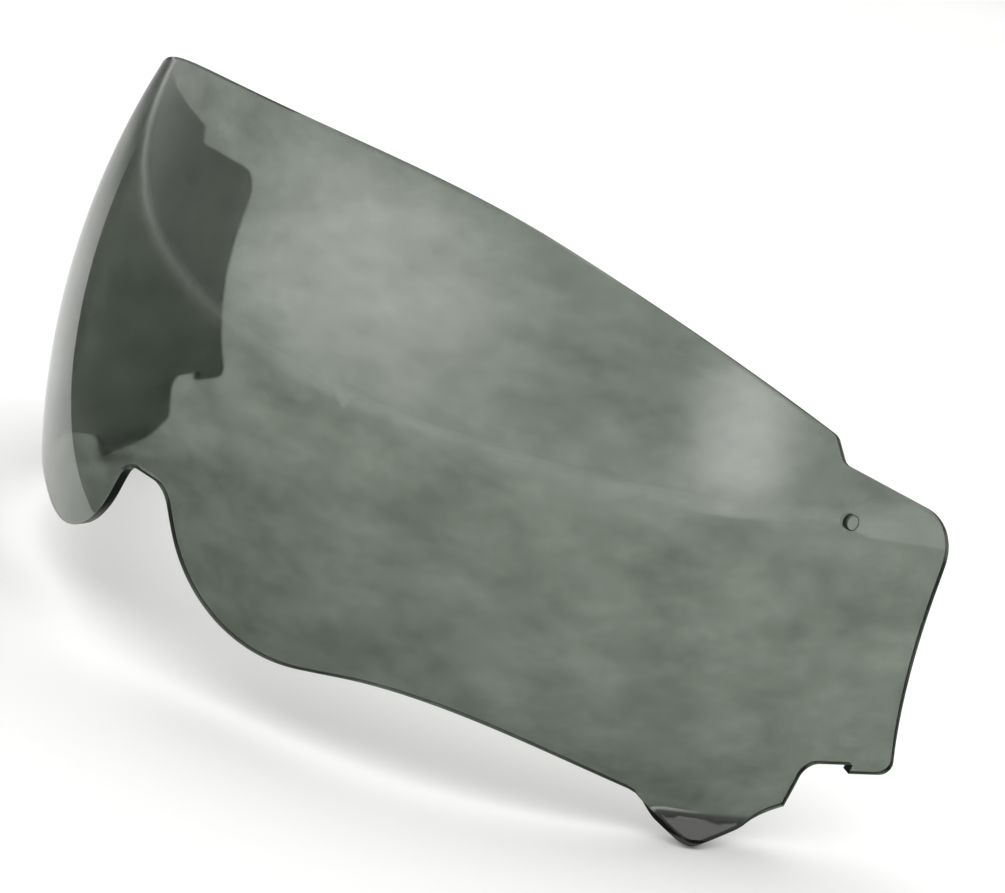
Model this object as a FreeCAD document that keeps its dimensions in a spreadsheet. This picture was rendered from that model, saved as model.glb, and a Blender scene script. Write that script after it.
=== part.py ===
import FreeCAD, Part
import math
import os

import Sketcher
from FreeCAD import Placement, Rotation, Vector

# Drop-down sun visor lens of a motorcycle helmet: one moulded, tinted shell.
#
# The lens is drawn about its own centre. The body's origin is on the upright axis that the
# front is curved round, at the level where the lens is widest. X runs forward, Y to the
# wearer's left and Z up. The body's Placement then sets the lens down with the middle of its
# box over the frame's origin and its lowest point at Z = 0.

DIMENSIONS = {
    # wall and its curvature
    "wall": 2.0,
    "plan_radius": 110.0,
    "side_radius": 165.0,
    "wrap_angle": 149.0,
    "arm_reach": 34.0,
    "blank_top": 72.0,
    # flare along the lower edge, kept only at the two finger tabs
    "flare_level": -38.0,
    "flare_bend": 3.0,
    "flare_out": 5.8,
    "flare_drop": 6.9,
    # top edge, seen from the side: level at the front, then falling to the ears
    "top_level": 64.7,
    "top_break": 93.8,
    "top_round": 66.0,
    # ears, seen from the side
    "ear_front": 37.7,
    "ear_front_top": 36.0,
    "ear_step_depth": 4.7,
    "ear_step_run": 2.1,
    "ear_rear": 9.3,
    "ear_rear_top": 22.5,
    "ear_round": 9.5,
    "waist": 13.2,
    "waist_level": -8.0,
    "waist_round": 75.0,
    # stop foot and notch under each ear
    "foot_rear": 5.2,
    "foot_front": 15.2,
    "foot_level": -29.4,
    "notch_level": -27.4,
    "notch_front": 25.6,
    "notch_round": 3.0,
    # finger tab on each lower edge
    "tab_rear_level": -37.3,
    "tab_side": 35.0,
    "tab_side_level": -42.3,
    "tab_side_round": 20.0,
    "tab_tip": 46.3,
    "tab_tip_level": -46.0,
    "tab_round": 4.5,
    "tab_front": 55.6,
    "tab_front_level": -36.9,
    # nose arch, lobes and lower edge, seen from the front
    "nose_top": -9.6,
    "nose_half_width": 6.0,
    "nose_round": 6.0,
    "lobe_out": 20.2,
    "lobe_level": -36.3,
    "lobe_round": 29.0,
    "hump_out": 70.6,
    "hump_level": -25.6,
    "hump_round": 58.0,
    "cut_out": 92.0,
    "cut_level": -37.9,
    # pivot pegs
    "peg_diameter": 3.0,
    "peg_height": 1.2,
    "peg_turn": 72.2,
    "peg_level": 21.2,
    # frame
    "frame_forward": 58.04,
    "frame_level": -45.37,
    # reach of the cutting outlines round the blank
    "keep_front": 118.0,
    "guard_front": 125.0,
    "guard_rear": -15.0,
    "guard_top": 80.0,
    "guard_bottom": -62.0,
}

ROOT = (-1, 1)
SHARP = None


class Size:
    """A length or angle with its number and the sheet expression that drives it."""

    def __init__(self, value, text):
        self.value = value
        self.text = text

    def __add__(self, other):
        return Size(self.value + other.value, f"({self.text} + {other.text})")

    def __sub__(self, other):
        return Size(self.value - other.value, f"({self.text} - {other.text})")

    def __neg__(self):
        return Size(-self.value, f"(-1 * {self.text})")


def size(alias):
    return Size(DIMENSIONS[alias], f"dimensions.{alias}")


def half(whole):
    return Size(whole.value / 2, f"({whole.text} / 2)")


def add_dimension_sheet(doc):
    sheet = doc.addObject("Spreadsheet::Sheet", "dimensions")
    for row, (alias, value) in enumerate(DIMENSIONS.items(), start=1):
        sheet.set(f"A{row}", alias)
        sheet.set(f"B{row}", str(value))
        sheet.setAlias(f"B{row}", alias)
    doc.recompute()


def origin_plane(body, role):
    return next(feature for feature in body.Origin.OriginFeatures if feature.Role == role)


def add_sketch(body, name, role):
    sketch = body.newObject("Sketcher::SketchObject", name)
    sketch.AttachmentSupport = [(origin_plane(body, role), "")]
    sketch.MapMode = "FlatFace"
    return sketch


def drive(sketch, constraint, measure):
    """Adds a dimensional constraint and binds it to the sheet."""
    index = sketch.addConstraint(constraint)
    name = f"driven_{index}"
    sketch.renameConstraint(index, name)
    sketch.setExpression(f"Constraints.{name}", measure.text)


def drive_point(sketch, point, across, up):
    drive(sketch, Sketcher.Constraint("DistanceX", *ROOT, *point, across.value), across)
    drive(sketch, Sketcher.Constraint("DistanceY", *ROOT, *point, up.value), up)


def circle_arc(centre, radius, first, last):
    """Arc of a circle that runs anticlockwise from the first point to the last."""
    angles = [math.atan2(point.y - centre.y, point.x - centre.x) for point in (first, last)]
    if angles[1] < angles[0]:
        angles[1] += 2 * math.pi
    return Part.ArcOfCircle(Part.Circle(centre, Vector(0, 0, 1), radius), *angles)


def add_rounded_outline(sketch, corners):
    """Draws a closed outline through corners of (across, up, radius or SHARP)."""
    spots = [Vector(across.value, up.value, 0) for across, up, _ in corners]
    count = len(corners)
    setbacks = []
    for i in range(count):
        to_last = (spots[i - 1] - spots[i]).normalize()
        to_next = (spots[(i + 1) % count] - spots[i]).normalize()
        half_angle = to_last.getAngle(to_next) / 2
        radius = corners[i][2].value if corners[i][2] else 0.0
        setbacks.append((to_last, to_next, radius / math.tan(half_angle), half_angle))
    sides = []
    for i in range(count):
        j = (i + 1) % count
        start = spots[i] + setbacks[i][1] * setbacks[i][2]
        end = spots[j] + setbacks[j][0] * setbacks[j][2]
        sides.append(sketch.addGeometry(Part.LineSegment(start, end), False))
    for i, (across, up, radius) in enumerate(corners):
        before = sides[i - 1]
        after = sides[i]
        mark = sketch.addGeometry(Part.Point(spots[i]), True)
        drive_point(sketch, (mark, 1), across, up)
        if radius is SHARP:
            sketch.addConstraint(Sketcher.Constraint("Coincident", before, 2, mark, 1))
            sketch.addConstraint(Sketcher.Constraint("Coincident", after, 1, mark, 1))
            continue
        sketch.addConstraint(Sketcher.Constraint("PointOnObject", mark, 1, before))
        sketch.addConstraint(Sketcher.Constraint("PointOnObject", mark, 1, after))
        to_last, to_next, setback, half_angle = setbacks[i]
        inward = (to_last + to_next).normalize()
        centre = spots[i] + inward * (radius.value / math.sin(half_angle))
        turns_left = to_last.cross(to_next).z < 0
        ends = [spots[i] + to_last * setback, spots[i] + to_next * setback]
        first, last = ends if turns_left else reversed(ends)
        arc = sketch.addGeometry(circle_arc(centre, radius.value, first, last), False)
        arc_ends = (1, 2) if turns_left else (2, 1)
        sketch.addConstraint(Sketcher.Constraint("Tangent", before, 2, arc, arc_ends[0]))
        sketch.addConstraint(Sketcher.Constraint("Tangent", after, 1, arc, arc_ends[1]))
        drive(sketch, Sketcher.Constraint("Radius", arc, radius.value), radius)


def add_wall_section(body, name):
    """Upright section of the wall: a long arc, then a bend and the flare along its foot."""
    sketch = add_sketch(body, name, "XZ_Plane")
    wall = DIMENSIONS["wall"]
    outer_radius = DIMENSIONS["side_radius"]
    bend = DIMENSIONS["flare_bend"]
    centre = Vector(DIMENSIONS["plan_radius"] - outer_radius, 0, 0)
    flare_run = Vector(DIMENSIONS["flare_out"], -DIMENSIONS["flare_drop"], 0)
    flare_normal = Vector(-flare_run.y, flare_run.x, 0).normalize()

    def on_face(radius, level):
        angle = math.asin(level / radius)
        return centre + Vector(math.cos(angle), math.sin(angle), 0) * radius

    outer_low = on_face(outer_radius, DIMENSIONS["flare_level"])
    low_normal = (outer_low - centre).normalize()
    inner_low = outer_low - low_normal * wall
    outer_top = on_face(outer_radius, DIMENSIONS["blank_top"])
    inner_top = on_face(outer_radius - wall, DIMENSIONS["blank_top"])
    bend_centre = outer_low + low_normal * bend
    outer_foot = bend_centre - flare_normal * bend
    inner_foot = outer_foot - flare_normal * wall

    outer = sketch.addGeometry(circle_arc(centre, outer_radius, outer_low, outer_top), False)
    inner = sketch.addGeometry(
        circle_arc(centre, outer_radius - wall, inner_low, inner_top), False)
    top = sketch.addGeometry(Part.LineSegment(outer_top, inner_top), False)
    outer_bend = sketch.addGeometry(
        circle_arc(bend_centre, bend, outer_low, outer_foot), False)
    inner_bend = sketch.addGeometry(
        circle_arc(bend_centre, bend + wall, inner_low, inner_foot), False)
    outer_flare = sketch.addGeometry(Part.LineSegment(outer_foot, outer_foot + flare_run), False)
    inner_flare = sketch.addGeometry(Part.LineSegment(inner_foot, inner_foot + flare_run), False)
    rim = sketch.addGeometry(
        Part.LineSegment(outer_foot + flare_run, inner_foot + flare_run), False)
    for kind, *places in (
        ("PointOnObject", outer, 3, -1),
        ("Coincident", inner, 3, outer, 3),
        ("Coincident", top, 1, outer, 2),
        ("Coincident", top, 2, inner, 2),
        ("Horizontal", top),
        ("Coincident", inner_bend, 3, outer_bend, 3),
        ("Tangent", outer, 1, outer_bend, 1),
        ("Tangent", inner, 1, inner_bend, 1),
        ("Tangent", outer_bend, 2, outer_flare, 1),
        ("Tangent", inner_bend, 2, inner_flare, 1),
        ("Coincident", outer_flare, 2, rim, 1),
        ("Coincident", inner_flare, 2, rim, 2),
        ("Parallel", outer_flare, inner_flare),
        ("Perpendicular", outer_flare, rim),
    ):
        sketch.addConstraint(Sketcher.Constraint(kind, *places))
    setback = size("plan_radius") - size("side_radius")
    inside = size("side_radius") - size("wall")
    for kind, places, measure in (
        ("DistanceX", (*ROOT, outer, 3), setback),
        ("Radius", (outer,), size("side_radius")),
        ("Radius", (inner,), inside),
        ("DistanceY", (*ROOT, outer, 2), size("blank_top")),
        ("DistanceY", (*ROOT, outer, 1), size("flare_level")),
        ("Radius", (outer_bend,), size("flare_bend")),
        ("DistanceX", (outer_flare, 1, outer_flare, 2), size("flare_out")),
        ("DistanceY", (outer_flare, 1, outer_flare, 2), -size("flare_drop")),
    ):
        drive(sketch, Sketcher.Constraint(kind, *places, measure.value), measure)
    return sketch


def turn_section(sketch, angle):
    """Turns an upright section about the wrap's axis, towards the wearer's left."""
    sketch.AttachmentOffset = Placement(
        Vector(0, 0, 0), Rotation(Vector(0, 1, 0), angle.value))
    sketch.setExpression("AttachmentOffset.Rotation.Angle", angle.text)


def add_blank(body):
    """Curved front turned about the upright axis, and a straight arm run on at each side."""
    front_section = add_wall_section(body, "front_section")
    front = body.newObject("PartDesign::Revolution", "curved_front")
    front.Profile = front_section
    front.ReferenceAxis = (front_section, ["V_Axis"])
    front.Midplane = True
    front.setExpression("Angle", size("wrap_angle").text)
    arm_section = add_wall_section(body, "arm_section")
    turn_section(arm_section, half(size("wrap_angle")))
    arm = body.newObject("PartDesign::Pad", "left_arm")
    arm.Profile = arm_section
    arm.Reversed = True
    arm.setExpression("Length", size("arm_reach").text)
    add_mirror(body, "right_arm", arm)


def add_mirror(body, name, feature):
    mirrored = body.newObject("PartDesign::Mirrored", name)
    mirrored.Originals = [feature]
    mirrored.MirrorPlane = (origin_plane(body, "XZ_Plane"), [""])
    body.Tip = mirrored
    return mirrored


def cut_side_outline(body):
    """Trims the blank to its shape seen from the side: top edge, ears, notches and tabs."""
    sketch = add_sketch(body, "side_outline", "XZ_Plane")
    front = size("guard_front")
    rear = size("guard_rear")
    top = size("guard_top")
    bottom = size("guard_bottom")
    add_rounded_outline(sketch, [
        (front, top, SHARP),
        (rear, top, SHARP),
        (rear, bottom, SHARP),
        (front, bottom, SHARP),
    ])
    before_lens = size("keep_front")
    step_front = size("ear_front") - size("ear_step_run")
    step_foot = size("ear_front_top") - size("ear_step_depth")
    small = size("wall")
    add_rounded_outline(sketch, [
        (before_lens, size("top_level"), SHARP),
        (size("top_break"), size("top_level"), size("top_round")),
        (size("ear_front"), size("ear_front_top"), small),
        (step_front, step_foot, small),
        (size("ear_rear"), size("ear_rear_top"), size("ear_round")),
        (size("waist"), size("waist_level"), size("waist_round")),
        (size("foot_rear"), size("foot_level"), small),
        (size("foot_front"), size("foot_level"), SHARP),
        (size("foot_front"), size("notch_level"), SHARP),
        (size("notch_front"), size("notch_level"), size("notch_round")),
        (size("notch_front"), size("tab_rear_level"), SHARP),
        (size("tab_side"), size("tab_side_level"), size("tab_side_round")),
        (size("tab_tip"), size("tab_tip_level"), size("tab_round")),
        (size("tab_front"), size("tab_front_level"), small),
        (before_lens, size("tab_front_level"), SHARP),
    ])
    pocket = body.newObject("PartDesign::Pocket", "side_trim")
    pocket.Profile = sketch
    pocket.Type = "ThroughAll"
    pocket.Midplane = True
    return pocket


def cut_front_outline(body):
    """Trims the lower front edge: nose arch, lobes and the shallow arches beside them."""
    sketch = add_sketch(body, "front_outline", "YZ_Plane")
    sketch.AttachmentOffset = Placement(Vector(0, 0, DIMENSIONS["tab_front"]), Rotation())
    sketch.setExpression("AttachmentOffset.Base.z", size("tab_front").text)
    left = [
        (size("nose_half_width"), size("nose_top"), size("nose_round")),
        (size("lobe_out"), size("lobe_level"), size("lobe_round")),
        (size("hump_out"), size("hump_level"), size("hump_round")),
        (size("cut_out"), size("cut_level"), SHARP),
        (size("cut_out"), size("guard_bottom"), SHARP),
    ]
    right = [(-across, up, radius) for across, up, radius in reversed(left)]
    add_rounded_outline(sketch, left + right)
    pocket = body.newObject("PartDesign::Pocket", "front_trim")
    pocket.Profile = sketch
    pocket.Type = "ThroughAll"
    pocket.Reversed = True
    return pocket


def add_pegs(body):
    """A low round pivot peg on the outer face of each ear, square to the face."""
    sketch = add_sketch(body, "peg_section", "XZ_Plane")
    turn_section(sketch, size("peg_turn"))
    centre = Vector(DIMENSIONS["plan_radius"] - DIMENSIONS["side_radius"], 0, 0)
    face = DIMENSIONS["side_radius"]
    tilt = math.asin(DIMENSIONS["peg_level"] / face)
    along = Vector(math.cos(tilt), math.sin(tilt), 0)
    across = Vector(-along.y, along.x, 0) * (DIMENSIONS["peg_diameter"] / 2)
    seat = centre + along * face
    root = centre + along * (face - DIMENSIONS["wall"] / 2)
    end = seat + along * DIMENSIONS["peg_height"]
    spoke = sketch.addGeometry(Part.LineSegment(centre, seat), True)
    core = sketch.addGeometry(Part.LineSegment(root, end), False)
    cap = sketch.addGeometry(Part.LineSegment(end, end + across), False)
    side = sketch.addGeometry(Part.LineSegment(end + across, root + across), False)
    foot = sketch.addGeometry(Part.LineSegment(root + across, root), False)
    for kind, *places in (
        ("PointOnObject", spoke, 1, -1),
        ("Coincident", core, 2, cap, 1),
        ("Coincident", cap, 2, side, 1),
        ("Coincident", side, 2, foot, 1),
        ("Coincident", foot, 2, core, 1),
        ("PointOnObject", core, 1, spoke),
        ("PointOnObject", core, 2, spoke),
        ("Perpendicular", core, cap),
        ("Parallel", core, side),
        ("Perpendicular", core, foot),
    ):
        sketch.addConstraint(Sketcher.Constraint(kind, *places))
    for kind, places, measure in (
        ("DistanceX", (*ROOT, spoke, 1), size("plan_radius") - size("side_radius")),
        ("Distance", (spoke,), size("side_radius")),
        ("DistanceY", (*ROOT, spoke, 2), size("peg_level")),
        ("Distance", (spoke, 2, core, 2), size("peg_height")),
        ("Distance", (spoke, 2, core, 1), half(size("wall"))),
        ("Distance", (cap,), half(size("peg_diameter"))),
    ):
        drive(sketch, Sketcher.Constraint(kind, *places, measure.value), measure)
    peg = body.newObject("PartDesign::Revolution", "left_peg")
    peg.Profile = sketch
    peg.ReferenceAxis = (sketch, ["Axis0"])
    peg.Angle = 360
    add_mirror(body, "right_peg", peg)


def build_visor_lens(doc):
    body = doc.addObject("PartDesign::Body", "visor_lens")
    body.Label = "visor_lens"
    add_blank(body)
    doc.recompute()
    blank_volume = body.Shape.Volume
    cut_side_outline(body)
    doc.recompute()
    side_volume = body.Shape.Volume
    cut_front_outline(body)
    doc.recompute()
    if not blank_volume > side_volume > body.Shape.Volume:
        raise RuntimeError("an outline didn't cut the blank")
    add_pegs(body)
    body.Placement = Placement(
        Vector(-DIMENSIONS["frame_forward"], 0, -DIMENSIONS["frame_level"]), Rotation())
    body.setExpression("Placement.Base.x", (-size("frame_forward")).text)
    body.setExpression("Placement.Base.z", (-size("frame_level")).text)
    doc.recompute()
    return body


def check_objects(doc):
    for item in doc.Objects:
        if "Invalid" in item.State or "Error" in item.State:
            raise RuntimeError(f"{item.Name} is {item.State}")
        shape = getattr(item, "Shape", None)
        if shape is not None and (shape.isNull() or not shape.isValid()):
            raise RuntimeError(f"{item.Name} has no valid shape")


def main():
    doc = FreeCAD.newDocument("sun_visor_lens")
    add_dimension_sheet(doc)
    nodes = [build_visor_lens(doc)]
    check_objects(doc)
    os.makedirs("parts", exist_ok=True)
    for node in nodes:
        node.Shape.exportStep(f"parts/{node.Label}.step")


main()
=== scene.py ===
"""Looks of a drop-down sun visor lens: one smoke-tinted polycarbonate shell in a pale studio."""

import logging
import math
from dataclasses import dataclass, field
from enum import Enum, IntEnum
from typing import Any, Iterable

import bmesh
import bpy
import numpy as np
from mathutils import Matrix, Vector
from mathutils.geometry import delaunay_2d_cdt


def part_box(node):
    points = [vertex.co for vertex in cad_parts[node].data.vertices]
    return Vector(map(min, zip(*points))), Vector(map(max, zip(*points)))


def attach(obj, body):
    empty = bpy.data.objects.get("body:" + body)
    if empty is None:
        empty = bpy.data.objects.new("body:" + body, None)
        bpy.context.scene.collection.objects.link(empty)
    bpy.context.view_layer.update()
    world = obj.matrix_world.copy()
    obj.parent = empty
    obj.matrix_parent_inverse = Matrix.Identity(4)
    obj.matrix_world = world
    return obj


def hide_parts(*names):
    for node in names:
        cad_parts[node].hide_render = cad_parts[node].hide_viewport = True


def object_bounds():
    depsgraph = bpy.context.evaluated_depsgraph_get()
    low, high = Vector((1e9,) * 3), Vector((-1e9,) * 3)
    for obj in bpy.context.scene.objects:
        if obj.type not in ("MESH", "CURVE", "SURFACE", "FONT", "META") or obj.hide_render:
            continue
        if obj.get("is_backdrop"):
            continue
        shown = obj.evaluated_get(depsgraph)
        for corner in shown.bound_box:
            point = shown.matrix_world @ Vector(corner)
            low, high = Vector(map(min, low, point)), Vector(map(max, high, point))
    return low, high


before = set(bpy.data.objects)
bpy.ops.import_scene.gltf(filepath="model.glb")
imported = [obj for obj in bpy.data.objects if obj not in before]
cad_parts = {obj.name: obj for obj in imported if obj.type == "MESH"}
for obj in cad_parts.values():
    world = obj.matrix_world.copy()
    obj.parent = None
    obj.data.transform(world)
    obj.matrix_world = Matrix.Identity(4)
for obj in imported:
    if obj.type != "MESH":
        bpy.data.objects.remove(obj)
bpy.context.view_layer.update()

LOG = logging.getLogger("visor")
BODY = "root"
LENS_NODE = "visor_lens"

FlatPoint = tuple[float, float]
Corner = tuple[float, float, float]
Sides = (1.0, -1.0)


class Skin(IntEnum):
    """The lens' two materials, in the order of its material slots; the rim's is painted
    near-black as painted shade.
    """

    FACE = 0
    RIM = 1


class Stand(Enum):
    """How a studio card stands."""

    HUNG = "facing the lens"
    LAID = "flat on the floor"


def mm(value: float) -> float:
    """Millimetres to metres."""
    return value / 1000.0


def linear(hex_colour: str) -> tuple[float, float, float, float]:
    """Turns an sRGB hex colour into linear light.

    Args:
        hex_colour: Six hex digits after a hash.

    Returns:
        The linear red, green and blue, and an alpha of 1.
    """
    parts = [int(hex_colour[i:i + 2], 16) / 255.0 for i in (1, 3, 5)]
    lit = [c / 12.92 if c <= 0.04045 else ((c + 0.055) / 1.055) ** 2.4 for c in parts]
    return (lit[0], lit[1], lit[2], 1.0)


def add_node(tree: bpy.types.NodeTree, kind: str, settings: dict[str, Any] | None = None,
             links: dict[str, bpy.types.NodeSocket] | None = None) -> bpy.types.Node:
    """Adds a node with its settings and links.

    Args:
        tree: The node tree that takes the node.
        kind: The node's type name.
        settings: Values by input name, or by property name where there's no such input.
        links: Sockets by the name of the input that they feed.

    Returns:
        The new node.
    """
    node = tree.nodes.new(kind)
    for name, value in (settings or {}).items():
        if hasattr(node, name):
            setattr(node, name, value)
        else:
            node.inputs[name].default_value = value
    for name, socket in (links or {}).items():
        tree.links.new(socket, node.inputs[name])
    return node


def deselect_all() -> None:
    """Leaves object mode with nothing selected."""
    if bpy.context.object and bpy.context.object.mode != "OBJECT":
        bpy.ops.object.mode_set(mode="OBJECT")
    bpy.ops.object.select_all(action="DESELECT")


def make_active(obj: bpy.types.Object) -> None:
    """Selects one object alone and makes it the active one."""
    deselect_all()
    obj.select_set(True)
    bpy.context.view_layer.objects.active = obj


def apply_modifier(obj: bpy.types.Object, name: str, kind: str, **settings: Any) -> None:
    """Adds a modifier and applies it.

    Args:
        obj: The mesh object.
        name: The modifier's name.
        kind: The modifier's type name.
        **settings: Its properties.
    """
    modifier = obj.modifiers.new(name, kind)
    for key, value in settings.items():
        setattr(modifier, key, value)
    make_active(obj)
    bpy.ops.object.modifier_apply(modifier=name)


def rounded_path(corners: list[Corner], step: float) -> list[FlatPoint]:
    """Follows an open path through corners, rounding each inner one by its radius.

    Args:
        corners: Across, up and radius of each corner; the ends' radii aren't used.
        step: Longest distance between two points.

    Returns:
        The points along the path.
    """
    spots = [Vector(corner[:2]) for corner in corners]
    marks: list[Vector] = [spots[0]]
    for i in range(1, len(spots) - 1):
        to_last = (spots[i - 1] - spots[i]).normalized()
        to_next = (spots[i + 1] - spots[i]).normalized()
        radius = corners[i][2]
        half_angle = to_last.angle(to_next) / 2
        setback = radius / math.tan(half_angle)
        if radius <= 0:
            marks.append(spots[i])
            continue
        centre = spots[i] + (to_last + to_next).normalized() * (radius / math.sin(half_angle))
        start = spots[i] + to_last * setback - centre
        turn = start.angle_signed(spots[i] + to_next * setback - centre)
        count = max(3, math.ceil(abs(turn) * radius / step))
        for k in range(count + 1):
            angle = -turn * k / count
            spin = Matrix.Rotation(angle, 2)
            marks.append(centre + spin @ start)
    marks.append(spots[-1])
    path: list[FlatPoint] = [tuple(marks[0])]
    for first, second in zip(marks, marks[1:]):
        count = max(1, math.ceil((second - first).length / step))
        for k in range(1, count + 1):
            path.append(tuple(first.lerp(second, k / count)))
    return path


@dataclass(frozen=True)
class WrapForm:
    """The curved sheet: an arc in section, wrapped round an upright axis, with straight arms.

    Points on it are given as (run, level): run is measured round the wrap from the middle of
    the front, and level up the section, which goes on past the crease along the flare.
    """

    plan_radius: float = mm(110.0)
    side_radius: float = mm(165.0)
    wrap_half: float = math.radians(74.5)
    crease: float = mm(-38.0)
    bend: float = mm(3.0)
    flare_out: float = 5.8
    flare_drop: float = 6.9
    flare_reach: float = mm(14.0)
    halvings: int = 40

    def radius_at(self, level: float) -> float:
        """Distance of the outer face from the upright axis, above the crease."""
        return self.plan_radius - self.side_radius + math.sqrt(self.side_radius**2 - level**2)

    def bend_turn(self) -> tuple[float, float]:
        """Angles of the wall's outward normal at the crease and on the flare."""
        return (math.asin(self.crease / self.side_radius),
                math.atan2(self.flare_out, self.flare_drop))

    def section(self, level: float) -> tuple[float, float]:
        """Follows the outer face up or down its section.

        Args:
            level: Height above the widest level, or the run past the crease below it.

        Returns:
            Distance from the upright axis and height.
        """
        if level >= self.crease:
            return self.radius_at(level), level
        past = self.crease - level
        first, last = self.bend_turn()
        radius = self.radius_at(self.crease)
        centre_out = radius + self.bend * math.cos(first)
        centre_up = self.crease + self.bend * math.sin(first)
        length = self.bend * (last - first)
        angle = first + (last - first) * min(past / length, 1.0)
        beyond = max(past - length, 0.0)
        out = centre_out - self.bend * math.cos(angle) + beyond * math.sin(last)
        up = centre_up - self.bend * math.sin(angle) - beyond * math.cos(last)
        return out, up

    def level_of(self, height: float) -> float:
        """Finds the level of a height by halving the stretch that holds it.

        Args:
            height: Height above the widest level.

        Returns:
            The level on the sheet, also on the flare.
        """
        if height >= self.crease:
            return height
        low, high = self.crease - self.flare_reach, self.crease
        for _ in range(self.halvings):
            middle = (low + high) / 2
            if self.section(middle)[1] < height:
                low = middle
            else:
                high = middle
        return (low + high) / 2

    def from_side(self, forward: float, height: float) -> FlatPoint:
        """Finds the point of the left half that is seen from the side at this place.

        Args:
            forward: Distance forward of the wrap's axis.
            height: Height above the widest level.

        Returns:
            The point of the flat sheet.
        """
        level = self.level_of(height)
        out = self.section(level)[0]
        start = out * math.cos(self.wrap_half)
        if forward >= start:
            return self.plan_radius * math.acos(min(forward / out, 1.0)), level
        arm = (start - forward) / math.sin(self.wrap_half)
        return self.plan_radius * self.wrap_half + arm, level

    def from_front(self, across: float, height: float) -> FlatPoint:
        """Point of the curved front that is seen from the front at this place."""
        return self.plan_radius * math.asin(across / self.radius_at(height)), height

    def place(self, run: float, level: float) -> Vector:
        """Turns a point of the flat sheet into its place on the curved one.

        Args:
            run: Distance round the wrap from the middle, positive on the wearer's left.
            level: Level up the section.

        Returns:
            The place, measured from the wrap's axis at the widest level.
        """
        out, up = self.section(level)
        side = math.copysign(1.0, run)
        wrap_end = self.plan_radius * self.wrap_half
        arm = max(abs(run) - wrap_end, 0.0)
        angle = min(abs(run), wrap_end) / self.plan_radius
        forward = out * math.cos(angle) - arm * math.sin(self.wrap_half)
        across = out * math.sin(angle) + arm * math.cos(self.wrap_half)
        return Vector((forward, side * across, up))

    def normal(self, angle: float, height: float) -> Vector:
        """Finds the outward normal of the face.

        Args:
            angle: Turn round the wrap's axis, in radians.
            height: Height above the widest level.

        Returns:
            The unit normal.
        """
        tilt = math.asin(height / self.side_radius)
        return Vector((math.cos(tilt) * math.cos(angle), math.cos(tilt) * math.sin(angle),
                       math.sin(tilt)))


@dataclass(frozen=True)
class LensOutline:
    """The lens' edge, as corners seen from the side and from the front, in millimetres.

    A corner is across, up and the radius that rounds it; a sharp one has none.
    """

    side: tuple[Corner, ...] = (
        (118.0, 64.7, 0.0), (93.8, 64.7, 66.0), (37.7, 36.0, 2.0), (35.6, 31.3, 2.0),
        (9.3, 22.5, 9.5), (13.2, -8.0, 75.0), (5.2, -29.4, 2.0), (15.2, -29.4, 0.0),
        (15.2, -27.4, 0.0), (25.6, -27.4, 3.0), (25.6, -37.3, 0.0), (35.0, -41.6, 20.0),
        (45.7, -44.9, 4.5), (55.0, -36.9, 0.0),
    )
    front: tuple[Corner, ...] = (
        (89.9, -36.7, 0.0), (70.6, -25.6, 58.0), (20.2, -36.3, 29.0), (6.0, -9.6, 6.0),
        (-6.0, -9.6, 0.0),
    )
    fine_step: float = mm(0.02)
    spacing: float = mm(0.9)
    flare_spacing: float = mm(0.5)

    def left_edge(self, form: WrapForm) -> list[FlatPoint]:
        """Follows the left half's edge from the top middle round to the nose arch.

        Args:
            form: The sheet that the edge lies on.

        Returns:
            Points of the flat sheet, without the two on the middle line.
        """
        edge: list[FlatPoint] = []
        for forward, height in rounded_path(self.metres(self.side), self.fine_step):
            if height < 0 or forward < form.radius_at(height):
                edge.append(form.from_side(forward, height))
        for across, height in rounded_path(self.metres(self.front), self.fine_step):
            if across > 0:
                edge.append(form.from_front(across, height))
        corners = [form.from_side(mm(corner[0]), mm(corner[1]))
                   for corner in self.side[1:-1] if corner[2] == 0]
        return self.thinned(edge, corners, form.crease)

    def thinned(self, edge: list[FlatPoint], corners: list[FlatPoint],
                crease: float) -> list[FlatPoint]:
        """Keeps evenly spaced points of a dense edge, and every sharp corner.

        Args:
            edge: The dense edge.
            corners: The sharp corners on it.
            crease: Level of the crease, below which points are kept closer together.

        Returns:
            The points that stay.
        """
        kept: list[FlatPoint] = [edge[0]]
        pinned = False
        for point in edge[1:]:
            gap = math.dist(point, kept[-1])
            sharp = any(math.dist(point, corner) < self.fine_step / 2 for corner in corners)
            spacing = self.flare_spacing if point[1] < crease + self.spacing else self.spacing
            if sharp and gap < spacing / 2 and not pinned:
                kept[-1] = point
            elif sharp or gap >= spacing:
                kept.append(point)
            else:
                continue
            pinned = sharp
        return kept

    def closed_edge(self, form: WrapForm) -> list[FlatPoint]:
        """Joins the left half's edge and its mirror image into one outline.

        Args:
            form: The sheet that the edge lies on.

        Returns:
            Points of the flat sheet, once round.
        """
        left = [point for point in self.left_edge(form) if point[0] > self.spacing / 2]
        right = [(-run, level) for run, level in reversed(left)]
        return left + [(0.0, left[-1][1])] + right + [(0.0, left[0][1])]

    def metres(self, corners: Iterable[Corner]) -> list[Corner]:
        """The corners in metres."""
        return [(mm(a), mm(b), mm(c)) for a, b, c in corners]


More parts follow.
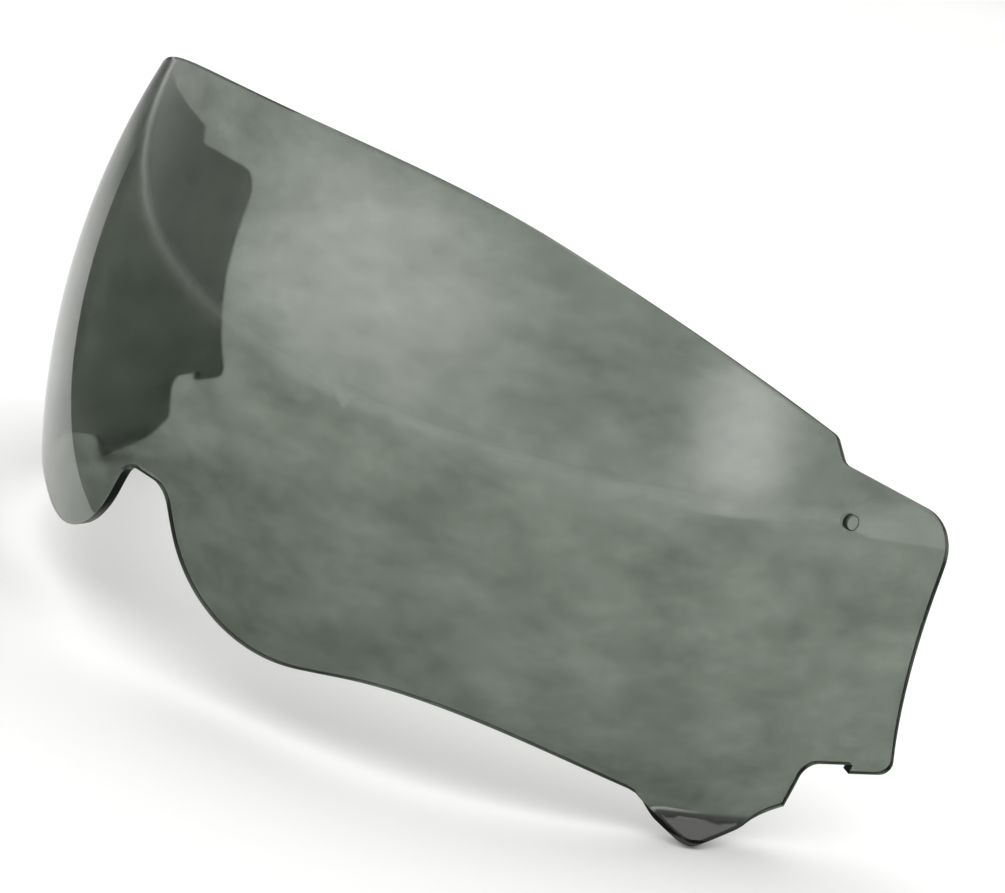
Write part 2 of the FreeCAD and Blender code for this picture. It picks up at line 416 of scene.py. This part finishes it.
@dataclass(frozen=True)
class SmokePolycarbonate:
    """Clear moulded polycarbonate with a smoke-green dye, polished on both faces.

    The dye darkens what is seen through the wall, and the polish gives sharp, weak
    reflections. Below a set height the finger tabs' flanges are painted much darker, as
    painted shade, not dye. Scales are in cells per metre.
    """

    name: str = "smoke_tinted_moulded_polycarbonate"
    tint: str = "#7f867d"
    deep_tint: str = "#626a61"
    # Painted shade: below these heights the flanges' colour is scaled down to this share.
    flange_shade_share: float = 0.14
    flange_shade_low: float = mm(4.4)
    flange_shade_high: float = mm(5.6)
    ior: float = 1.585
    roughness: float = 0.03
    clearness: float = 1.0
    flow_scale: float = 60.0
    flow_stretch: float = 1.8
    haze_scale: float = 80.0
    ripple_scale: float = 30.0
    ripple_height: float = mm(0.6)

    def build(self) -> bpy.types.Material:
        """Makes the material.

        Returns:
            The material with its nodes.
        """
        material = bpy.data.materials.new(self.name)
        material.use_nodes = True
        tree = material.node_tree
        tree.nodes.clear()
        place = add_node(tree, "ShaderNodeTexCoord").outputs["Object"]
        # Uneven tone: random level streaks of lighter and darker tint along the wrap, about 16
        # mm long and 9 mm high.
        along = add_node(tree, "ShaderNodeMapping", {"Scale": (1.0, 1.0, self.flow_stretch)},
                         {"Vector": place})
        flow = add_node(tree, "ShaderNodeTexNoise",
                        {"Scale": self.flow_scale, "Detail": 6.0, "Roughness": 0.66},
                        {"Vector": along.outputs["Vector"]})
        spread = add_node(tree, "ShaderNodeMapRange", {"From Min": 0.32, "From Max": 0.68},
                          {"Value": flow.outputs["Fac"]})
        dye = add_node(tree, "ShaderNodeMix", {"data_type": "RGBA"},
                       {"Factor": spread.outputs["Result"]})
        dye.inputs["A"].default_value = linear(self.deep_tint)
        dye.inputs["B"].default_value = linear(self.tint)
        # Painted shade: only the tabs' flanges reach below this height, and there the colour is
        # scaled down.
        height = add_node(tree, "ShaderNodeSeparateXYZ", {}, {"Vector": place}).outputs["Z"]
        flange_shade = add_node(tree, "ShaderNodeMapRange",
                          {"From Min": self.flange_shade_low, "From Max": self.flange_shade_high,
                           "To Min": self.flange_shade_share, "To Max": 1.0}, {"Value": height})
        # Base colour: the tint times the flanges' painted shade.
        tint = add_node(tree, "ShaderNodeVectorMath", {"operation": "SCALE"},
                        {"Vector": dye.outputs["Result"], "Scale": flange_shade.outputs["Result"]})
        # Handling haze: patches about 12 mm across that polish less sharply.
        haze = add_node(tree, "ShaderNodeTexNoise",
                        {"Scale": self.haze_scale, "Detail": 4.0, "Roughness": 0.6},
                        {"Vector": place})
        gloss = add_node(tree, "ShaderNodeMapRange",
                         {"To Min": self.roughness * 0.5, "To Max": self.roughness * 1.8},
                         {"Value": haze.outputs["Fac"]})
        # Moulding ripple: long soft waves about 30 mm apart.
        ripple = add_node(tree, "ShaderNodeTexNoise",
                          {"Scale": self.ripple_scale, "Detail": 2.0, "Roughness": 0.4},
                          {"Vector": place})
        bump = add_node(tree, "ShaderNodeBump",
                        {"Strength": 0.12, "Distance": self.ripple_height},
                        {"Height": ripple.outputs["Fac"]})
        shader = add_node(tree, "ShaderNodeBsdfPrincipled",
                          {"IOR": self.ior, "Transmission Weight": self.clearness},
                          {"Base Color": tint.outputs["Vector"],
                           "Normal": bump.outputs["Normal"],
                           "Roughness": gloss.outputs["Result"]})
        add_node(tree, "ShaderNodeOutputMaterial", {}, {"Surface": shader.outputs["BSDF"]})
        return material


def shaded_rim_polycarbonate() -> SmokePolycarbonate:
    """The same plastic at its cut edge, painted almost black as painted shade, and half dull."""
    # Painted shade: the near-black tint stands in for the dark look of the cut edge.
    return SmokePolycarbonate(name="smoke_polycarbonate_rim_painted_shade", tint="#2b312b",
                              deep_tint="#1d221d", flange_shade_share=0.6, roughness=0.3,
                              clearness=0.45)


@dataclass
class VisorLens:
    """The lens: outline cut from a flat sheet, bent to its form and given its wall."""

    form: WrapForm = field(default_factory=WrapForm)
    outline: LensOutline = field(default_factory=LensOutline)
    finish: SmokePolycarbonate = field(default_factory=SmokePolycarbonate)
    rim_shade_finish: SmokePolycarbonate = field(default_factory=shaded_rim_polycarbonate)
    widest_level: float = mm(45.37)
    wall: float = mm(2.0)
    rim_width: float = mm(0.8)
    rim_round: float = mm(0.3)
    rim_steps: int = 3
    sharp_rim: float = math.radians(50)
    soft_shading: float = math.radians(35)
    cell: float = mm(3.0)
    clear_gap: float = mm(0.7)
    arm_cells: int = 12
    wall_rows: int = 36
    bend_rows: int = 8
    flare_rows: int = 7
    peg_radius: float = mm(1.5)
    peg_height: float = mm(1.2)
    peg_turn: float = math.radians(72.2)
    peg_level: float = mm(21.2)
    peg_edge: float = mm(0.25)
    peg_sides: int = 40
    seat_slack: float = 1.04
    seat_lean: float = 0.9

    def build(self) -> bpy.types.Object:
        """Makes the finished lens.

        Returns:
            The lens, dressed, with its pegs.
        """
        lens = self.rim_band()
        self.fill_inside(lens)
        self.bend_sheet(lens)
        self.thicken(lens)
        for side in Sides:
            self.add_peg(lens, side)
        self.settle(lens)
        return lens

    def rim_band(self) -> bpy.types.Object:
        """Starts from a disc, draws its rim out to the outline and insets a band along it.

        Returns:
            The band, flat, with its inside left open.
        """
        edge = self.outline.closed_edge(self.form)
        deselect_all()
        bpy.ops.mesh.primitive_circle_add(vertices=len(edge), radius=self.form.plan_radius,
                                          fill_type="NGON")
        band = bpy.context.object
        band.name = "visor_shell"
        band.data.name = "visor_shell"
        for vertex, (run, level) in zip(band.data.vertices, edge):
            vertex.co = (run, level, 0.0)
        bpy.ops.object.mode_set(mode="EDIT")
        bpy.ops.mesh.select_all(action="SELECT")
        bpy.ops.mesh.inset(thickness=self.rim_width, depth=0.0)
        bpy.ops.mesh.delete(type="ONLY_FACE")
        bpy.ops.object.mode_set(mode="OBJECT")
        return band

    def fill_inside(self, band: bpy.types.Object) -> None:
        """Fills the band with small cells, even inside and stitched to the band's inner edge.

        Args:
            band: The flat rim band, which becomes the whole flat sheet.
        """
        shell = bmesh.new()
        shell.from_mesh(band.data)
        rim = len(shell.verts) // 2
        seam = [edge for edge in shell.edges
                if edge.is_boundary and min(v.index for v in edge.verts) >= rim]
        corners = [vert for vert in shell.verts if vert.index >= rim]
        spots = np.array([(run, level) for level in self.grid_levels()
                          for run in self.grid_runs()])
        ends = np.array([[vert.co[:2] for vert in edge.verts] for edge in seam])
        spots = spots[self.well_inside(spots, ends)]
        rings = self.peg_spots()
        for ring in rings:
            gaps = np.linalg.norm(spots - ring.mean(axis=0), axis=1)
            spots = spots[gaps > self.peg_radius + self.clear_gap]
        first = len(corners) + len(spots)
        spots = np.concatenate([spots, *rings])
        points = [Vector(vert.co[:2]) for vert in corners] + [Vector(spot) for spot in spots]
        bounds = [tuple(vert.index - rim for vert in edge.verts) for edge in seam]
        for start in (first, first + self.peg_sides):
            bounds += [(start + i, start + (i + 1) % self.peg_sides)
                       for i in range(self.peg_sides)]
        _, _, cells, _, _, _ = delaunay_2d_cdt(points, bounds, [], 1, mm(0.001))
        corners += [shell.verts.new((spot[0], spot[1], 0.0)) for spot in spots]
        for cell in cells:
            shell.faces.new([corners[index] for index in cell])
        for start, end in bounds[len(seam):]:
            shell.edges.get((corners[start], corners[end])).seam = True
        shell.to_mesh(band.data)
        shell.free()
        make_active(band)
        bpy.ops.object.mode_set(mode="EDIT")
        bpy.ops.mesh.select_all(action="SELECT")
        bpy.ops.mesh.normals_make_consistent()
        bpy.ops.mesh.tris_convert_to_quads(seam=True)
        bpy.ops.object.mode_set(mode="OBJECT")

    def well_inside(self, spots: np.ndarray, edges: np.ndarray) -> np.ndarray:
        """Finds the points that lie inside a closed outline and clear of it.

        Args:
            spots: The points to test.
            edges: Both ends of each edge of the outline, in any order.

        Returns:
            True for each point that is inside and clear.
        """
        inside = np.zeros(len(spots), bool)
        nearest = np.full(len(spots), np.inf)
        for start, end in edges:
            run = end - start
            share = np.clip(((spots - start) @ run) / (run @ run), 0.0, 1.0)
            gap = np.linalg.norm(spots - start - share[:, None] * run, axis=1)
            nearest = np.minimum(nearest, gap)
            crosses = (start[1] > spots[:, 1]) != (end[1] > spots[:, 1])
            rise = run[1] if run[1] else 1.0
            across = start[0] + (spots[:, 1] - start[1]) * run[0] / rise
            inside ^= crosses & (spots[:, 0] < across)
        return inside & (nearest > self.clear_gap)

    def grid_runs(self) -> list[float]:
        """Runs of the upright cuts, the same to both sides of the middle."""
        count = int(self.form.plan_radius * self.form.wrap_half / self.cell) + self.arm_cells
        return [self.cell * i for i in range(-count, count + 1)]

    def grid_levels(self) -> list[float]:
        """Spaces the level cuts: even on the wall, close in the bend, even on the flare.

        Returns:
            The levels, lowest first.
        """
        first, last = self.form.bend_turn()
        length = self.form.bend * (last - first)
        crease = self.form.crease
        above = [crease + self.cell * i for i in range(1, self.wall_rows)]
        within = [crease - length * i / self.bend_rows for i in range(self.bend_rows + 1)]
        below = [crease - length - self.cell / 2 * i for i in range(1, self.flare_rows)]
        return sorted(above + within + below)

    def origin(self) -> Vector:
        """Place of the wrap's axis at the widest level, from the node's box."""
        low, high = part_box(LENS_NODE)
        return Vector((high[0] - self.form.plan_radius, 0.0, low[2] + self.widest_level))

    def bend_sheet(self, sheet: bpy.types.Object) -> None:
        """Moves the flat sheet's points onto the curved form, faces outward.

        Args:
            sheet: The flat sheet.
        """
        origin = self.origin()
        for vertex in sheet.data.vertices:
            vertex.co = origin + self.form.place(vertex.co.x, vertex.co.y)
        sheet.data.update()
        front = max(sheet.data.polygons, key=lambda face: face.center.x)
        if front.normal.x < 0:
            make_active(sheet)
            bpy.ops.object.mode_set(mode="EDIT")
            bpy.ops.mesh.select_all(action="SELECT")
            bpy.ops.mesh.flip_normals()
            bpy.ops.object.mode_set(mode="OBJECT")

    def thicken(self, sheet: bpy.types.Object) -> None:
        """Gives the sheet its wall, inward from the outer face, and rounds its rim.

        Args:
            sheet: The curved sheet.
        """
        # The rim and its rounding take the second material, painted near-black as painted shade.
        for finish in (self.finish, self.rim_shade_finish):
            sheet.data.materials.append(finish.build())
        apply_modifier(sheet, "wall", "SOLIDIFY", thickness=self.wall, offset=-1.0,
                       use_even_offset=True, material_offset_rim=Skin.RIM)
        apply_modifier(sheet, "rim", "BEVEL", width=self.rim_round,
                       segments=self.rim_steps, limit_method="ANGLE",
                       angle_limit=self.sharp_rim, material=Skin.RIM)

    def peg_spots(self) -> list[np.ndarray]:
        """Rings of points on the flat sheet where the pegs' sides will stand.

        Returns:
            One ring for each peg.
        """
        turns = np.linspace(0.0, 2.0 * math.pi, self.peg_sides, endpoint=False)
        ring = self.peg_radius * np.stack([np.cos(turns), np.sin(turns)], axis=1)
        run = self.form.plan_radius * self.peg_turn
        return [ring + np.array([side * run, self.form.level_of(self.peg_level)])
                for side in Sides]

    def add_peg(self, lens: bpy.types.Object, side: float) -> None:
        """Draws a pivot peg out of an ear, square to its face, with a chamfered end.

        Args:
            lens: The thick lens.
            side: 1 for the wearer's left, -1 for the right.
        """
        flip = Vector((1.0, side, 1.0))
        axis = self.form.normal(self.peg_turn, self.peg_level) * flip
        out = self.form.radius_at(self.peg_level)
        seat = self.origin() + flip * Vector((
            out * math.cos(self.peg_turn), out * math.sin(self.peg_turn), self.peg_level))
        body = bmesh.new()
        body.from_mesh(lens.data)
        cap = [face for face in body.faces if face.normal.dot(axis) > self.seat_lean and all(
            (vert.co - seat).length < self.peg_radius * self.seat_slack
            for vert in face.verts)]
        neck = self.peg_radius - self.peg_edge
        for height, radius in ((self.peg_height - self.peg_edge, self.peg_radius),
                               (self.peg_height, neck)):
            cap = self.drawn_out(body, cap)
            for vert in {vert for face in cap for vert in face.verts}:
                off = vert.co - seat
                across = off - axis * off.dot(axis)
                share = radius / self.peg_radius
                vert.co = seat + across * share + axis * height
        body.normal_update()
        LOG.info("peg %+d: %d cap faces, %d open edges", side, len(cap),
                 sum(not edge.is_manifold for edge in body.edges))
        body.to_mesh(lens.data)
        body.free()

    def drawn_out(self, body: bmesh.types.BMesh,
                  cap: list[bmesh.types.BMFace]) -> list[bmesh.types.BMFace]:
        """Extrudes a patch of faces and gives its new sides the rim's material, painted
        near-black as painted shade.

        Args:
            body: The lens.
            cap: The faces of the patch.

        Returns:
            The patch's new faces.
        """
        grown = bmesh.ops.extrude_face_region(body, geom=cap)["geom"]
        bmesh.ops.delete(body, geom=[face for face in cap if face.is_valid], context="FACES")
        cap = [item for item in grown if isinstance(item, bmesh.types.BMFace)]
        for face in {near for top in cap for edge in top.edges for near in edge.link_faces}:
            # The peg's sides take the rim's painted shade; its end keeps the face material.
            face.material_index = Skin.FACE if face in cap else Skin.RIM
        return cap

    def settle(self, lens: bpy.types.Object) -> None:
        """Smooths the shading and leaves the lens at the origin.

        Args:
            lens: The finished mesh.
        """
        make_active(lens)
        bpy.ops.object.transform_apply(location=True, rotation=True, scale=True)
        bpy.ops.object.shade_smooth_by_angle(angle=self.soft_shading)


@dataclass(frozen=True)
class PaleSurface:
    """Matt white studio paper: even, faintly mottled."""

    name: str = "matt_white_paper"
    light: str = "#fbfbfa"
    dark: str = "#f4f4f2"

    def build(self) -> bpy.types.Material:
        """Makes the material.

        Returns:
            The material with its nodes.
        """
        material = bpy.data.materials.new(self.name)
        material.use_nodes = True
        tree = material.node_tree
        tree.nodes.clear()
        place = add_node(tree, "ShaderNodeTexCoord").outputs["Object"]
        mottle = add_node(tree, "ShaderNodeTexNoise", {"Scale": 3.0, "Detail": 2.0},
                          {"Vector": place})
        colour = add_node(tree, "ShaderNodeMix", {"data_type": "RGBA"},
                          {"Factor": mottle.outputs["Fac"]})
        colour.inputs["A"].default_value = linear(self.dark)
        colour.inputs["B"].default_value = linear(self.light)
        shader = add_node(tree, "ShaderNodeBsdfPrincipled",
                          {"Roughness": 0.9, "Specular IOR Level": 0.1},
                          {"Base Color": colour.outputs["Result"]})
        add_node(tree, "ShaderNodeOutputMaterial", {}, {"Surface": shader.outputs["BSDF"]})
        return material


@dataclass(frozen=True)
class StudioCard:
    """A card that only reflections show: a glowing soft box, or a dull flag that kills glare.

    Its light is whole near its heart and fades away from there. Heart, whole and gone are
    shares of the card's sides.
    """

    name: str
    middle: tuple[float, float, float]
    width: float
    height: float
    glow: float
    stand: Stand = Stand.LAID
    turn: float = 0.0
    heart: tuple[float, float] = (0.5, 0.5)
    whole: float = 0.05
    gone: float = 0.48

    @classmethod
    def facing(cls, name: str, bearing: float, rise: float, distance: float,
               **sizes: float) -> "StudioCard":
        """Places a card by its bearing and rise, both in degrees, as the lens sees it.

        Args:
            name: The card's name.
            bearing: Degrees from straight ahead of the lens, towards the wearer's left.
            rise: Degrees above the floor.
            distance: How far away it hangs, in metres.
            **sizes: The card's other fields.

        Returns:
            The card.
        """
        ahead, up = math.radians(bearing), math.radians(rise)
        return cls(name, (distance * math.cos(up) * math.cos(ahead),
                          distance * math.cos(up) * math.sin(ahead),
                          distance * math.sin(up)), stand=Stand.HUNG, **sizes)

    def build(self) -> bpy.types.Object:
        """Hangs the card facing the lens, or lays it on the floor.

        Returns:
            The card.
        """
        place = Vector(self.middle)
        laid = self.stand is Stand.LAID
        facing = Vector((0.0, 0.0, 1.0)) if laid else place
        deselect_all()
        bpy.ops.mesh.primitive_plane_add(
            size=1.0, location=place, rotation=facing.to_track_quat("Z", "Y").to_euler())
        card = bpy.context.object
        card.name = self.name
        card.scale = (self.width, self.height, 1.0)
        if laid:
            card.rotation_euler.z = math.radians(self.turn)
        bpy.ops.object.transform_apply(location=True, rotation=True, scale=True)
        card.data.materials.append(self.card_material())
        card.visible_camera = False
        card.visible_diffuse = False
        card.visible_transmission = False
        card.visible_shadow = False
        card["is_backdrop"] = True
        return card

    def card_material(self) -> bpy.types.Material:
        """Makes diffuser cloth for a soft box, or dull felt for a flag.

        Returns:
            The material with its nodes.
        """
        material = bpy.data.materials.new(self.name + "_cloth")
        material.use_nodes = True
        tree = material.node_tree
        tree.nodes.clear()
        place = add_node(tree, "ShaderNodeTexCoord").outputs["UV"]
        off = add_node(tree, "ShaderNodeVectorMath", {"operation": "SUBTRACT"},
                       {"Vector": place})
        off.inputs[1].default_value = (*self.heart, 0.0)
        reach = add_node(tree, "ShaderNodeVectorMath", {"operation": "LENGTH"},
                         {"Vector": off.outputs["Vector"]})
        fade = add_node(tree, "ShaderNodeMapRange",
                        {"interpolation_type": "SMOOTHSTEP", "From Min": self.whole,
                         "From Max": self.gone, "To Min": 1.0, "To Max": 0.0},
                        {"Value": reach.outputs["Value"]})
        light = add_node(tree, "ShaderNodeEmission", {"Strength": self.glow})
        clear = add_node(tree, "ShaderNodeBsdfTransparent")
        mix = add_node(tree, "ShaderNodeMixShader", {}, {"Fac": fade.outputs["Result"]})
        tree.links.new(clear.outputs["BSDF"], mix.inputs[1])
        tree.links.new(light.outputs["Emission"], mix.inputs[2])
        add_node(tree, "ShaderNodeOutputMaterial", {}, {"Surface": mix.outputs["Shader"]})
        return material


@dataclass
class Studio:
    """Floor, soft lights and the camera."""

    floor_half: float = 8.0
    room_light: float = 0.4
    ceiling_height: float = 3.0
    ceiling_size: float = 6.0
    ceiling_power: float = 168.0
    cards: tuple[StudioCard, ...] = (
        StudioCard.facing("right_soft_box", -6.0, 18.0, 1.2, width=2.4, height=1.1, glow=3.0),
        StudioCard.facing("left_soft_box", 81.0, 11.0, 1.2, width=0.8, height=0.8, glow=3.9),
        StudioCard("side_flag", (1.30, -1.885, mm(1.2)), 3.0, 3.6, 0.02, turn=-8.6,
                   heart=(0.0, 0.944), whole=0.12, gone=0.9),
        StudioCard("corner_flag", (-0.45, -1.5, mm(0.8)), 3.8, 3.8, 0.08),
        StudioCard("floor_flag", (1.35, 1.48, mm(1.6)), 3.3, 3.0, 0.02,
                   heart=(0.1, 0.0), gone=0.7),
    )
    camera_place: tuple[float, float, float] = (0.3656, 0.38455, 0.19545)
    camera_target: tuple[float, float, float] = (-0.01901, 0.02104, 0.04887)
    camera_roll: float = math.radians(14.97)
    camera_lens: float = 98.23
    camera_sensor: float = 36.0
    camera_near: float = 0.01
    camera_far: float = 50.0
    floor_cells: int = 8
    floor_gap: float = mm(0.3)

    def build(self) -> None:
        """Makes the whole studio."""
        self.lay_floor()
        self.light_room()
        self.set_camera()

    def lay_floor(self) -> None:
        """Lays the pale floor just under the lens."""
        deselect_all()
        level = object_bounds()[0][2] - self.floor_gap
        bpy.ops.mesh.primitive_grid_add(x_subdivisions=self.floor_cells,
                                        y_subdivisions=self.floor_cells,
                                        size=2 * self.floor_half, location=(0.0, 0.0, level))
        floor = bpy.context.object
        floor.name = "studio_floor"
        bpy.ops.object.transform_apply(location=True, rotation=True, scale=True)
        floor.data.materials.append(PaleSurface().build())
        floor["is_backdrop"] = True

    def light_room(self) -> None:
        """Fills the room with soft light and sets up the cards and the ceiling light."""
        world = bpy.data.worlds.new("soft_room")
        bpy.context.scene.world = world
        world.use_nodes = True
        background = world.node_tree.nodes["Background"]
        background.inputs["Color"].default_value = linear("#ffffff")
        background.inputs["Strength"].default_value = self.room_light
        bpy.context.scene.view_settings.view_transform = "Standard"
        for card in self.cards:
            card.build()
        deselect_all()
        bpy.ops.object.light_add(type="AREA", location=(0.0, 0.0, self.ceiling_height))
        ceiling = bpy.context.object
        ceiling.name = "ceiling_light"
        ceiling.data.size = self.ceiling_size
        ceiling.data.energy = self.ceiling_power

    def set_camera(self) -> None:
        """Places the camera and makes it the scene's."""
        place = Vector(self.camera_place)
        aim = (Vector(self.camera_target) - place).to_track_quat("-Z", "Y")
        deselect_all()
        bpy.ops.object.camera_add()
        camera = bpy.context.object
        camera.name = "view_camera"
        camera.matrix_world = (Matrix.Translation(place) @ aim.to_matrix().to_4x4()
                               @ Matrix.Rotation(self.camera_roll, 4, "Z"))
        camera.data.lens = self.camera_lens
        camera.data.sensor_width = self.camera_sensor
        camera.data.clip_start = self.camera_near
        camera.data.clip_end = self.camera_far
        bpy.context.scene.camera = camera


def main() -> None:
    """Builds the studio and the lens, and reports each piece."""
    logging.basicConfig(level=logging.INFO, format="%(name)s: %(message)s")
    Studio().build()
    lens = VisorLens().build()
    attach(lens, BODY)
    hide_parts(LENS_NODE)
    LOG.info("%s: %d faces", lens.name, len(lens.data.polygons))


if __name__ == "__main__":
    main()
